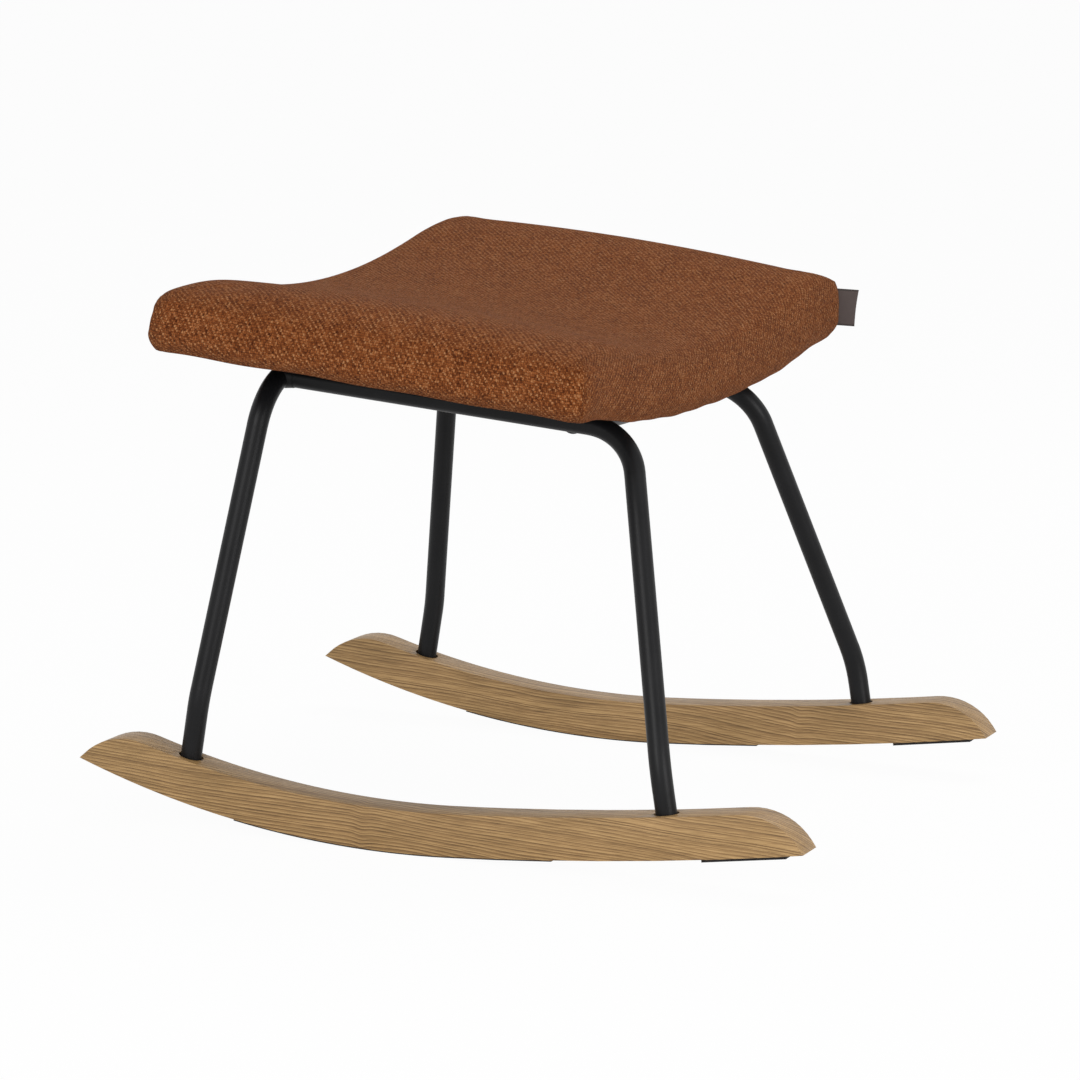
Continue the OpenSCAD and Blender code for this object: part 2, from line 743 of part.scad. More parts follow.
// The padding follows the cover's inside, and sits on the board.
module seat_foam() {
    edge_in = top_in + foam_off + ease;
    rings = [
        ring(foam_inset, seat_t, 1, 0), ring(foam_inset, top_round + foam_off, 1, 0),
        ring(edge_in, edge_in, 1, 0), ring(top_round, foam_off, 1, edge_share),
        for (share = crown_shares) ring(top_round, foam_off, share, 1)
    ];
    color(foam)
        difference() {
            on_seat() stacked(rings, [0, 0, -seat_t], [0, 0, swell - foam_off]);
            on_seat() saddle_sheet(board_top, 2 * seat_t, seat_w / 2, -seat_l / 2, seat_l / 2);
            at_seat_bolts()
                translate([0, 0, -board_top - slack])
                    cylinder(h = washer_t + 2 * slack, d = tee_flange_d + 2 * slack);
        }
}

module seat_cover() {
    color(rust) on_seat() seat_skin();
}

module dust_cover() {
    rim_x = seat_l / 2 - dust_inset;
    rim_y = seat_w / 2 - dust_inset;
    color(black)
        difference() {
            on_seat() saddle_sheet(seat_t, tab_top, rim_y, -rim_x, rim_x);
            at_seat_bolts() translate([0, 0, -rail_off]) cylinder(h = seat_t, r = bolt_r + slack);
        }
}

// One staple lying along X under the dust cover at [x, y] of the seat's frame.
module staple(x, y) {
    off = seat_t + dust_t;
    slope = abs(y) <= (hollow_r + off) * sin(hollow_angle)
        ? asin(y / (hollow_r + off))
        : sign(y) * asin((brow_y - abs(y)) / (brow_r - off));
    translate([x, y, saddle_z(y, off)])
        rotate([slope, 0, 0])
            translate([-staple_w / 2, -staple_t, -staple_t]) cube([staple_w, 2 * staple_t, staple_t]);
}

module staples() {
    edge = dust_inset + staple_w;
    row_x = seat_l / 2 - edge;
    row_y = seat_w / 2 - edge;
    color(steel)
        on_seat() {
            for (i = [0:staples_long - 1])
                for (side = [right, left])
                    staple((row_x - edge) * (2 * i / (staples_long - 1) - 1), side * row_y);
            for (i = [0:staples_end - 1])
                for (end = [-1, 1])
                    staple(end * row_x, (row_y - edge) * (2 * i / (staples_end - 1) - 1));
        }
}

// Bare woven label in the vertical seam of the front left corner.
module label() {
    color(brown)
        on_seat()
            difference() {
                translate([seat_l / 2 - corner_r, seat_w / 2 - corner_r, saddle_z(seat_w / 2 - corner_r, 0)])
                    rotate([0, 0, label_angle])
                        translate([0, -label_t / 2, -label_h - label_drop])
                            cube([corner_r + label_w, label_t, label_h]);
                stacked([for (k = [1:7]) outer_rings[k]], [0, 0, -seat_t], [0, 0, swell]);
            }
}

at_rest() rocker(right);  // right_rocker
at_rest() rocker(left);  // left_rocker
at_rest() grip_strip(right);  // right_grip_strip
at_rest() grip_strip(left);  // left_grip_strip
at_rest() stop_pad(right);  // right_stop_pad
at_rest() stop_pad(left);  // left_stop_pad
at_rest() rear_frame();
at_rest() side_frame(right);  // right_side_frame
at_rest() side_frame(left);  // left_side_frame
at_rest() cross_rail();  // front_cross_rail
at_rest() seat_board();
at_rest() seat_foam();
at_rest() seat_cover();
at_rest() dust_cover();
at_rest() staples();
at_rest() label();
for (quarter = quarters) {
    name = quarter[0];
    side = quarter[1];
    end = quarter[2];
    at_rest() weld_bead(side, end);
    at_rest() seat_tab(side, end);
    at_rest() leg_insert(side, end);
    at_rest() rocker_bolt(side, end);
    at_rest() rocker_washer(side, end);
    at_rest() tee_nut(side, end);
    at_rest() seat_bolt(side, end);
    at_rest() seat_washer(side, end);
}
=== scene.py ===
from math import cos, pi, radians, sin, sqrt

import bmesh
import bpy
import numpy as np
from mathutils import Matrix, Vector


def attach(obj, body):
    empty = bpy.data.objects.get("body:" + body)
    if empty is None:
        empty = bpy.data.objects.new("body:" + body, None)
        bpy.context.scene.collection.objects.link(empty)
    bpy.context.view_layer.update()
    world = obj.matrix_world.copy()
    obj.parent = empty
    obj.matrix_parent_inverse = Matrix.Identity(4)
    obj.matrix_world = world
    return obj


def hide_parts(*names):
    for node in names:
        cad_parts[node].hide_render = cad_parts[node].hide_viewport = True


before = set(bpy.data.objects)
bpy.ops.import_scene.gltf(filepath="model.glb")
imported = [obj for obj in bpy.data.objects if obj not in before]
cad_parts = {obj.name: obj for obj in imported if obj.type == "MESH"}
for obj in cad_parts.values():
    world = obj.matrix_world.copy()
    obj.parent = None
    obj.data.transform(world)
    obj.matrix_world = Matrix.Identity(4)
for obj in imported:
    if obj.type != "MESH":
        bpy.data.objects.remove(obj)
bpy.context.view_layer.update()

# Camera: a long lens at table height, off the stool's right-hand end and a little
# towards its front, rolled by a degree and a half as in the photograph.
camera_azimuth = radians(21.606)
camera_elevation = radians(9.812)
camera_roll = radians(1.465)
camera_distance = 3.867
camera_focal_mm = 164.64
camera_sensor_mm = 36
camera_reach = 90
camera_target = Vector((-0.0248, 0.0264, 0.1958))


def placed(name, data):
    """A new object with this data, in the scene."""
    piece = bpy.data.objects.new(name, data)
    bpy.context.collection.objects.link(piece)
    return piece


camera_back = Vector((
    sin(camera_azimuth) * cos(camera_elevation),
    -cos(camera_azimuth) * cos(camera_elevation),
    sin(camera_elevation),
))
camera_right = Vector((cos(camera_azimuth), sin(camera_azimuth), 0))
camera_up = camera_back.cross(camera_right)
camera_axes = Matrix((camera_right, camera_up, camera_back)).transposed()
camera = placed("camera", bpy.data.cameras.new("camera"))
camera.matrix_world = (
    Matrix.Translation(camera_target + camera_back * camera_distance)
    @ (camera_axes @ Matrix.Rotation(camera_roll, 3, "Z")).to_4x4()
)
camera.data.lens = camera_focal_mm
camera.data.sensor_width = camera_sensor_mm
camera.data.clip_end = camera_reach
bpy.context.scene.camera = camera
bpy.context.scene.view_settings.view_transform = "Standard"

# Studio: a plain pale floor under the stool, a white surround, and three large
# soft lamps, the strongest to the left of the camera and above it.
surround_light = 0.36
floor_half = 40.0
floor_grey = 0.86
floor_white_share = 0.96
lamp_width = 1.5
white = (1, 1, 1, 1)


def add(tree, kind, inputs=(), **settings):
    """Adds a node. inputs gives sockets by name or number a value or another socket."""
    node = tree.nodes.new(kind)
    for name, value in settings.items():
        setattr(node, name, value)
    for name, value in dict(inputs).items():
        if isinstance(value, bpy.types.NodeSocket):
            tree.links.new(value, node.inputs[name])
        else:
            node.inputs[name].default_value = value
    return node


def calc(tree, operation, *values):
    """The result of a Math node."""
    return add(tree, "ShaderNodeMath", enumerate(values), operation=operation).outputs[0]


def seen_directly(tree):
    """One for camera, glossy and transmission rays, nought for the light on things."""
    path = add(tree, "ShaderNodeLightPath").outputs
    glossy = calc(tree, "MAXIMUM", path["Is Camera Ray"], path["Is Glossy Ray"])
    return calc(tree, "MAXIMUM", glossy, path["Is Transmission Ray"])


def built(name, points, faces):
    """A new object from points and faces."""
    mesh = bpy.data.meshes.new(name)
    mesh.from_pydata([tuple(point) for point in points], [], faces)
    return placed(name, mesh)


def soft_lamp(name, place, watts):
    """A wide square lamp that faces the stool."""
    lamp = placed(name, bpy.data.lights.new(name, "AREA"))
    lamp.data.shape = "SQUARE"
    lamp.data.size = lamp_width
    lamp.data.energy = watts
    lamp.location = place
    lamp.rotation_euler = (camera_target - Vector(place)).to_track_quat("-Z", "Y").to_euler()


world = bpy.data.worlds.new("white_surround")
bpy.context.scene.world = world
world.use_nodes = True
world.node_tree.nodes.clear()
surround = add(world.node_tree, "ShaderNodeBackground", {"Color": white, "Strength": surround_light})
backdrop = add(world.node_tree, "ShaderNodeBackground", {"Color": white, "Strength": 1.0})
pick = add(world.node_tree, "ShaderNodeMixShader", {
    0: seen_directly(world.node_tree), 1: surround.outputs[0], 2: backdrop.outputs[0]})
add(world.node_tree, "ShaderNodeOutputWorld", {0: pick.outputs[0]})

floor = built("floor", [
    (-floor_half, -floor_half, 0), (floor_half, -floor_half, 0),
    (floor_half, floor_half, 0), (-floor_half, floor_half, 0)], [(0, 1, 2, 3)])
floor_paint = bpy.data.materials.new("pale_floor")
floor_paint.use_nodes = True
floor_tree = floor_paint.node_tree
floor_tree.nodes.clear()
floor_matt = add(floor_tree, "ShaderNodeBsdfDiffuse", {"Color": (floor_grey, floor_grey, floor_grey, 1)})
floor_glow = add(floor_tree, "ShaderNodeEmission", {"Color": white, "Strength": 1.0})
floor_share = calc(floor_tree, "MULTIPLY", seen_directly(floor_tree), floor_white_share)
floor_mix = add(floor_tree, "ShaderNodeMixShader", {
    0: floor_share, 1: floor_matt.outputs[0], 2: floor_glow.outputs[0]})
add(floor_tree, "ShaderNodeOutputMaterial", {0: floor_mix.outputs[0]})
floor.data.materials.append(floor_paint)

soft_lamp("key", (-0.3, -3.0, 1.5), 46)
soft_lamp("fill", (3.0, -1.4, 0.9), 44)
soft_lamp("top", (0.4, 1.2, 2.6), 26)

# Rockers: two ash boards, sawn to a curve, flatter towards the low end, their long
# edges eased with a cutter and the faces lacquered satin. Legs stand in blind sockets.
ash_light = (0.520, 0.342, 0.154)
ash_mid = (0.345, 0.214, 0.088)
ash_dark = (0.105, 0.055, 0.019)
ring_pitch = 0.0025
ring_unevenness = 1.4
ring_lean = 0.55
ring_wander = 0.014
grain_slope = radians(-3)
knot_half = 0.006
knot_lift = 0.0013
eased_edge = 0.0016
eased_from_angle = radians(28)
merge_within = 0.00002
flat_within_angle = radians(0.5)


def principled(name, inputs=()):
    """A new material with one Principled shader, its node tree, and the shader."""
    material = bpy.data.materials.new(name)
    material.use_nodes = True
    tree = material.node_tree
    shader = tree.nodes["Principled BSDF"]
    for socket, value in dict(inputs).items():
        shader.inputs[socket].default_value = value
    return material, tree, shader


def painted(tree, shader, colour, height, strength, distance):
    """Wires a colour, and a bump of this height, into a shader."""
    tree.links.new(colour, shader.inputs["Base Color"])
    bump = add(tree, "ShaderNodeBump", {"Height": height, "Strength": strength, "Distance": distance})
    tree.links.new(bump.outputs[0], shader.inputs["Normal"])


def ramp(tree, factor, stops):
    """A colour ramp through (position, colour) stops."""
    node = add(tree, "ShaderNodeValToRGB", {0: factor})
    band = node.color_ramp.elements
    while len(band) < len(stops):
        band.new(0.5)
    for element, (position, colour) in zip(band, stops):
        element.position = position
        element.color = (*colour, 1)
    return node.outputs[0]


def stretched(tree, scale, rotation=(0, 0, 0), shift=(0, 0, 0)):
    """Object coordinates scaled, turned and shifted."""
    place = add(tree, "ShaderNodeTexCoord").outputs["Object"]
    return add(tree, "ShaderNodeMapping", {
        "Vector": place, "Scale": scale, "Rotation": rotation, "Location": shift}).outputs[0]


def noise(tree, place, detail, scale=1.0, roughness=0.5, dimensions="3D"):
    """A noise texture's node."""
    return add(tree, "ShaderNodeTexNoise", {
        "Vector": place, "Scale": scale, "Detail": detail, "Roughness": roughness},
        noise_dimensions=dimensions)


def multiplied(tree, colour, by, share=1.0):
    """A colour multiplied by another, in part where the share is below one."""
    return add(tree, "ShaderNodeMix", {0: share, 6: colour, 7: by},
               data_type="RGBA", blend_type="MULTIPLY").outputs[2]


def ash_material(name, shift, knot_x):
    """Lacquered ash with its growth rings running along the board, a little aslant, and
    rising over a small knot."""
    material, tree, shader = principled(name, {"Specular IOR Level": 0.4})
    wander = noise(tree, stretched(tree, (7, 26, 20), shift=shift), 1.5, roughness=0.4).outputs[0]
    straight = add(tree, "ShaderNodeSeparateXYZ", {
        0: stretched(tree, (1, 1, 1), (0, grain_slope, 0), shift)}).outputs
    height = calc(tree, "MULTIPLY_ADD", straight["Y"], ring_lean, straight["Z"])
    height = calc(tree, "MULTIPLY_ADD", wander, ring_wander, height)
    from_knot = calc(tree, "DIVIDE", calc(tree, "SUBTRACT", straight["X"], knot_x), knot_half)
    squared = calc(tree, "MULTIPLY", from_knot, from_knot)
    over_knot = calc(tree, "EXPONENT", calc(tree, "MULTIPLY", squared, -1.0))
    height = calc(tree, "MULTIPLY_ADD", over_knot, knot_lift, height)
    uneven = add(tree, "ShaderNodeTexNoise", {"W": height, "Scale": 320.0, "Detail": 2.0},
                 noise_dimensions="1D").outputs[0]
    rings = calc(tree, "MULTIPLY_ADD", uneven, ring_unevenness, calc(tree, "DIVIDE", height, ring_pitch))
    ring_edge = calc(tree, "POWER", calc(tree, "FRACT", rings), 1.7)
    streak = noise(
        tree, stretched(tree, (45, 1150, 1150), (0, grain_slope, 0), shift), 3.0, roughness=0.7).outputs[0]
    patch = noise(tree, stretched(tree, (14, 40, 40), shift=shift), 2.0).outputs[0]
    tone = calc(tree, "MULTIPLY_ADD", streak, 0.95, -0.19)
    tone = calc(tree, "MULTIPLY_ADD", ring_edge, 0.5, tone)
    colour = ramp(tree, tone, ((0.16, ash_light), (0.42, ash_mid), (0.85, ash_dark)))
    warmth = ramp(tree, patch, ((0.33, (0.86, 0.82, 0.76)), (0.62, (1.04, 1.0, 0.97))))
    tree.links.new(calc(tree, "MULTIPLY_ADD", tone, 0.14, 0.40), shader.inputs["Roughness"])
    painted(tree, shader, multiplied(tree, colour, warmth), tone, 0.25, 0.0003)
    return material


def tidy_copy(node, name):
    """A copy of a CAD node's mesh with its doubles merged, as a new object."""
    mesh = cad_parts[node].data.copy()
    shape = bmesh.new()
    shape.from_mesh(mesh)
    bmesh.ops.remove_doubles(shape, verts=shape.verts, dist=merge_within)
    bmesh.ops.dissolve_limit(shape, angle_limit=flat_within_angle, verts=shape.verts, edges=shape.edges)
    shape.to_mesh(mesh)
    shape.free()
    mesh.materials.clear()
    return placed(name, mesh)


def finish(piece):
    """Applies the piece's modifiers, so that it is one plain mesh."""
    graph = bpy.context.evaluated_depsgraph_get()
    mesh = bpy.data.meshes.new_from_object(piece.evaluated_get(graph))
    mesh.name = piece.name
    piece.modifiers.clear()
    piece.data = mesh


for rocker_node, grain_shift, knot_x in (
        ("right_rocker", (0.31, 0.12, 0.05), 0.254), ("left_rocker", (1.43, -0.22, 0.021), 1.56)):
    board = tidy_copy(rocker_node, rocker_node + "_eased")
    easing = board.modifiers.new("eased_edges", "BEVEL")
    easing.width = eased_edge
    easing.segments = 3
    easing.limit_method = "ANGLE"
    easing.angle_limit = eased_from_angle
    easing.harden_normals = True
    board.data.materials.append(ash_material(rocker_node + "_ash", grain_shift, knot_x))
    board.data.shade_smooth()
    finish(board)
    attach(board, "root")
    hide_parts(rocker_node)

# Grip strips and stop pads: black rubber, bonded under the boards. The strips keep the
# stool from creeping as it rocks, and the pads stop it at the low end.
strip_widening = 1.3


def grainy_material(name, inputs, grain_scale, detail, stops, strength, distance):
    """A material whose colour and bump both follow one fine grain."""
    material, tree, shader = principled(name, inputs)
    grain = noise(tree, stretched(tree, (grain_scale, grain_scale, grain_scale)), detail).outputs[0]
    painted(tree, shader, ramp(tree, grain, stops), grain, strength, distance)
    return material


def dress(nodes, material):
    """Gives CAD nodes a new material."""
    for node in nodes:
        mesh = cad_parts[node].data
        mesh.materials.clear()
        mesh.materials.append(material)


rubber = grainy_material(
    "rubber_sheet", {"Roughness": 0.8, "Specular IOR Level": 0.3}, 900, 2.0,
    ((0.3, (0.012, 0.011, 0.011)), (0.7, (0.03, 0.028, 0.028))), 0.4, 0.0004)
dress(("right_stop_pad", "left_stop_pad"), rubber)
for strip_node in ("right_grip_strip", "left_grip_strip"):
    strip = tidy_copy(strip_node, strip_node + "_wide")
    middle_y = sum(vertex.co.y for vertex in strip.data.vertices) / len(strip.data.vertices)
    for vertex in strip.data.vertices:
        vertex.co.y = middle_y + (vertex.co.y - middle_y) * strip_widening
    strip.data.materials.append(rubber)
    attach(strip, "root")
    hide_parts(strip_node)


# Frame: a rear tube that makes both rear legs and the rail between them, and two side
# tubes, each a front leg and a run to the rear bend. With the front rail and the seat
# tabs they are welded and powder coated satin black as one.
def nodes_ending(*endings):
    """The names of the CAD nodes that end in one of these ways."""
    return [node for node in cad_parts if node.endswith(endings)]


def coat_material():
    """Satin black powder coat: a fine orange peel, a little cloudy in its gloss."""
    material, tree, shader = principled("black_powder_coat", {"Specular IOR Level": 0.16})
    grain = noise(tree, stretched(tree, (1300, 1300, 1300)), 2.0).outputs[0]
    cloud = noise(tree, stretched(tree, (30, 30, 30)), 3.0).outputs[0]
    colour = ramp(tree, cloud, ((0.3, (0.0055, 0.0055, 0.006)), (0.7, (0.009, 0.009, 0.0098))))
    tree.links.new(calc(tree, "MULTIPLY_ADD", cloud, 0.12, 0.34), shader.inputs["Roughness"])
    painted(tree, shader, colour, grain, 0.22, 0.0002)
    return material


dress(nodes_ending("frame", "cross_rail", "weld_bead", "seat_tab"), coat_material())


# Fixings: zinc plated steel bolts, washers, plugs, tee nuts and staples. They show only
# from below, in the gap between the seat and its frame and under the boards.
def zinc_material():
    """Zinc plate, a little cloudy in its colour and its gloss."""
    material, tree, shader = principled("zinc_plate", {"Metallic": 1.0})
    cloud = noise(tree, stretched(tree, (400, 400, 400)), 3.0).outputs[0]
    colour = ramp(tree, cloud, ((0.3, (0.50, 0.51, 0.52)), (0.7, (0.64, 0.65, 0.66))))
    tree.links.new(colour, shader.inputs["Base Color"])
    tree.links.new(calc(tree, "MULTIPLY_ADD", cloud, 0.2, 0.26), shader.inputs["Roughness"])
    return material


dress(nodes_ending("bolt", "washer", "leg_insert", "tee_nut", "staples"), zinc_material())


# Seat board: beech plywood pressed to the saddle. The cushion and the dust cover
# close round it, so little of it shows.
def ply_material():
    """Beech veneer, its grain along the seat's long side."""
    material, tree, shader = principled("pressed_plywood", {"Roughness": 0.6})
    grain = noise(tree, stretched(tree, (400, 20, 400)), 4.0).outputs[0]
    colour = ramp(tree, grain, ((0.3, (0.42, 0.28, 0.15)), (0.7, (0.60, 0.44, 0.27))))
    tree.links.new(colour, shader.inputs["Base Color"])
    return material


dress(("seat_board",), ply_material())

# Seat cushion: foam on the board under a chunky mottled rust weave. The cover is cut
# as one cross of cloth, sewn up the four corners and pulled tight under the board.
seat_tilt = radians(5.15)
seat_middle = Vector((-0.0418, 0, 0.3781))
seat_l = 0.348
seat_w = 0.572
seat_t = 0.0478
half_l, half_w = seat_l / 2, seat_w / 2
hollow_r = 1.000
brow_r = 0.450
hollow_a = radians(10.6)
crown = 0.0075
crown_end_power = 8
top_round = 0.015
bottom_round = 0.014

# The grid's steps: over the cloth, down the sides, and beside each corner seam.
cloth_step = 0.0065
side_step = 0.0033
seam_steps = (0.0, 0.0011, 0.0024, 0.0044, 0.0078)

# How the foam and cloth depart from the plain block. The lip is the soft lower edge,
# with its shares at places across the stool, and it hangs lower towards the rear.
belly = 0.0030
belly_power = 1.6
lip = 0.0085
lip_width = 0.028
lip_places = (0.0, 0.05, 0.11, 0.16, 0.20, 0.235, 0.286)
lip_shares = (0.0, 0.10, 0.42, 0.80, 1.0, 0.82, 0.45)
lip_rear_gain = 0.15
lip_rear_corner_gain = 0.6
right_end_drop = 0.0040
left_corner_rise = 0.0026
hem_wave = 0.0005
hem_wave_lengths = (0.061, 0.097, 0.164)
hem_wave_seed = 5

# The corner seams' grooves, and soft creases along the front face, each from one place
# across the stool to another, at a depth below the top's edge. A low ridge lies below
# each crease, so many of its half widths down.
seam_depth = 0.0011
seam_half_width = 0.0013
crease_depth = 0.0013
crease_half_width = 0.0022
crease_ridge = 0.45
ridge_below = 2.0
creases = (
    ((-0.278, 0.0130), (-0.095, 0.0100)),
    ((-0.225, 0.0205), (0.005, 0.0160)),
    ((-0.130, 0.0085), (0.060, 0.0060)),
    ((-0.262, 0.0330), (-0.205, 0.0270)),
    ((0.150, 0.0170), (0.262, 0.0240)),
)

# The swelling of the cover: its frames, the most it moves, and the slack at the front.
swell_frames = 20
swell_cap = 0.002
slack_reach = 0.05
slack_growth = 0.02
on_edge = 1e-6


def saddle(y, off):
    """Height of the saddle curve, off below the seat's top, at distance y from the middle."""
    y = np.abs(y)
    brow_y = (hollow_r + brow_r) * sin(hollow_a)
    brow_z = hollow_r - (hollow_r + brow_r) * cos(hollow_a)
    low = hollow_r - np.sqrt(np.maximum((hollow_r + off) ** 2 - y ** 2, 0))
    high = brow_z + np.sqrt(np.maximum((brow_r - off) ** 2 - (y - brow_y) ** 2, 0))
    return np.where(y <= (hollow_r + off) * sin(hollow_a), low, high)


def seat_to_stool(points):
    """Points of the level seat's frame, turned with the stool's rest attitude."""
    x, y, z = np.asarray(points).T
    return np.column_stack((
        seat_middle.x + x * cos(seat_tilt) + z * sin(seat_tilt),
        seat_middle.y + y,
        seat_middle.z - x * sin(seat_tilt) + z * cos(seat_tilt)))


def stops(size):
    """Places of the grid lines along one side, closer together at its two seams."""
    inner = size / 2 - seam_steps[-1]
    count = round(2 * inner / cloth_step)
    first = [step - size / 2 for step in seam_steps]
    middle = [inner * (2 * i / count - 1) for i in range(1, count)]
    last = [size / 2 - step for step in reversed(seam_steps)]
    return first + middle + last


def block_grid():
    """A closed grid of quads over a block of the seat's size, with every quad's cloth
    coordinates: metres on the unfolded cross, the top panel in its middle."""
    deep = round(seat_t / side_step)
    axes = (stops(seat_l), stops(seat_w), [-seat_t * k / deep for k in range(deep + 1)])
    index, corners, quads, cloth = {}, [], [], []

    def corner(cell):
        if cell not in index:
            index[cell] = len(corners)
            corners.append(tuple(axis[i] for axis, i in zip(axes, cell)))
        return index[cell]

    for axis in range(3):
        u, v = (axis + 1) % 3, (axis + 2) % 3
        for end in (0, len(axes[axis]) - 1):
            for a in range(len(axes[u]) - 1):
                for b in range(len(axes[v]) - 1):
                    quad = []
                    for da, db in ((0, 0), (1, 0), (1, 1), (0, 1)):
                        cell = [0, 0, 0]
                        cell[axis], cell[u], cell[v] = end, a + da, b + db
                        quad.append(corner(tuple(cell)))
                    quads.append(quad)
                    for i in quad:
                        x, y, z = corners[i]
                        if axis == 0:
                            x -= z * (1 if x > 0 else -1)
                        if axis == 1:
                            y -= z * (1 if y > 0 else -1)
                        cloth.append((x, y))
    return np.array(corners), quads, cloth


def waves(y, x, lengths, seed):
    """Smooth waves of about unit size over a surface, the same on every run."""
    dice = np.random.default_rng(seed)
    total = np.zeros_like(y)
    for length in lengths:
        turn, phase = dice.uniform(0, 2 * pi, 2)
        total += np.sin(2 * pi * (x * cos(turn) + y * sin(turn)) / length + phase)
    return total / sqrt(len(lengths))


def hang(x, y, depth):
    """How much lower the cloth lies than the plain block: a soft lip along the lower
    edge, most of all beside the hollow, a top that is lower behind at the right end, and
    two corners at the left end that stand a little higher."""
    rim = np.clip(1 - np.minimum(half_l - np.abs(x), half_w - np.abs(y)) / lip_width, 0, 1)
    behind = 1 - lip_rear_gain * x / half_l + lip_rear_corner_gain * np.clip(-x / half_l, 0, 1) ** 4
    lower_edge = lip * depth ** 2 * rim ** 2 * (3 - 2 * rim) * behind
    lower_edge *= np.interp(np.abs(y), lip_places, lip_shares)
    right_end = np.clip(-y / half_w, 0, 1) ** 2 * (0.5 - 0.5 * x / half_l)
    left_corners = np.clip(y / half_w, 0, 1) ** 3 * np.clip(np.abs(x) / half_l, 0, 1) ** 4
    return lower_edge + (1 - depth) * (right_end_drop * right_end - left_corner_rise * left_corners)


def rounded(block):
    """The block with its edges rounded, then bent to the saddle and crowned."""
    x, y, z = block.T
    depth = np.clip(-z / seat_t, 0, 1)
    rise = np.where(z > -seat_t / 2, top_round, bottom_round)
    in_plan = bottom_round + (top_round - bottom_round) * (1 - depth)
    over_x = np.maximum(np.abs(x) - (half_l - in_plan), 0)
    over_y = np.maximum(np.abs(y) - (half_w - in_plan), 0)
    over_z = np.maximum(np.abs(z + seat_t / 2) - (seat_t / 2 - rise), 0)
    reach = np.sqrt((over_x / in_plan) ** 2 + (over_y / in_plan) ** 2 + (over_z / rise) ** 2)
    keep = np.where(reach > 1, 1 / np.maximum(reach, 1e-9), 1.0)
    fullness = belly * np.sin(pi * depth ** belly_power)
    round_x = (x - np.sign(x) * over_x * (1 - keep)) * (1 + fullness / half_l)
    round_y = (y - np.sign(y) * over_y * (1 - keep)) * (1 + fullness / half_w)
    round_z = z - np.sign(z + seat_t / 2) * over_z * (1 - keep)
    lift = crown * (1 - depth) * np.cos(pi / 2 * np.minimum(1, np.abs(round_x) / half_l))
    lift *= np.cos(pi / 2 * np.minimum(1, np.abs(round_y) / half_w) ** crown_end_power)
    pulled = hem_wave * waves(x + y, x - y, hem_wave_lengths, hem_wave_seed)
    pulled *= np.clip(2 * depth - 1, 0, 1)
    return np.column_stack((
        round_x, round_y, saddle(round_y, -round_z) + lift + pulled - hang(x, y, depth)))


def swell(piece, block):
    """Lets pressure swell the cover between its seams and its stapled edge, which hold.
    It does so once, in a short cloth simulation, and moves no point past the cap."""
    at_seam = (np.abs(block[:, 0]) > half_l - on_edge) & (np.abs(block[:, 1]) > half_w - on_edge)
    under = block[:, 2] < -seat_t + on_edge
    held = piece.vertex_groups.new(name="held")
    held.add([int(i) for i in np.nonzero(at_seam | under)[0]], 1.0, "REPLACE")
    slack_cloth = piece.vertex_groups.new(name="slack_cloth")
    for i, share in enumerate(np.clip((block[:, 0] - (half_l - slack_reach)) / slack_reach, 0, 1)):
        slack_cloth.add([i], float(share), "REPLACE")
    rest = np.array([vertex.co for vertex in piece.data.vertices])
    cloth = piece.modifiers.new("cloth", "CLOTH")
    cloth.settings.quality = 6
    cloth.settings.mass = 0.25
    cloth.settings.tension_stiffness = 40
    cloth.settings.compression_stiffness = 12
    cloth.settings.shear_stiffness = 8
    cloth.settings.bending_stiffness = 0.6
    cloth.settings.use_pressure = True
    cloth.settings.uniform_pressure_force = 4
    cloth.settings.vertex_group_mass = held.name
    cloth.settings.vertex_group_shrink = slack_cloth.name
    cloth.settings.shrink_min = 0.0
    cloth.settings.shrink_max = -slack_growth
    cloth.settings.effector_weights.gravity = 0
    cloth.collision_settings.use_collision = False
    cloth.point_cache.frame_start = 1
    cloth.point_cache.frame_end = swell_frames
    for step in range(1, swell_frames + 1):
        bpy.context.scene.frame_set(step)
    swollen_piece = piece.evaluated_get(bpy.context.evaluated_depsgraph_get())
    move = np.array([vertex.co for vertex in swollen_piece.data.vertices]) - rest
    piece.modifiers.clear()
    bpy.context.scene.frame_set(1)
    size = np.maximum(np.linalg.norm(move, axis=1), 1e-9)
    move *= (swell_cap * np.tanh(size / swell_cap) / size)[:, None]
    piece.data.vertices.foreach_set("co", (rest + move).ravel())
    piece.data.update()


def sew(piece, block):
    """Draws the cloth in along the corner seams, and folds soft creases into its front."""
    x, y, z = block.T
    seam_gap = np.hypot(half_l - np.abs(x), half_w - np.abs(y))
    groove = seam_depth * np.exp(-((seam_gap / seam_half_width) ** 2)) * np.clip(-z / top_round, 0, 1)
    on_front = x > half_l - on_edge
    for (from_y, from_depth), (to_y, to_depth) in creases:
        along = np.clip((y - from_y) / (to_y - from_y), 0, 1)
        inside = (y > from_y) & (y < to_y) & on_front
        offset = (-z - from_depth - along * (to_depth - from_depth)) / crease_half_width
        fold = np.exp(-(offset ** 2)) - crease_ridge * np.exp(-((offset - ridge_below) ** 2))
        groove += crease_depth * inside * np.sin(pi * along) ** 0.6 * fold
    normals = np.array([vertex.normal for vertex in piece.data.vertices])
    places = np.array([vertex.co for vertex in piece.data.vertices])
    piece.data.vertices.foreach_set("co", (places - normals * groove[:, None]).ravel())
    piece.data.update()


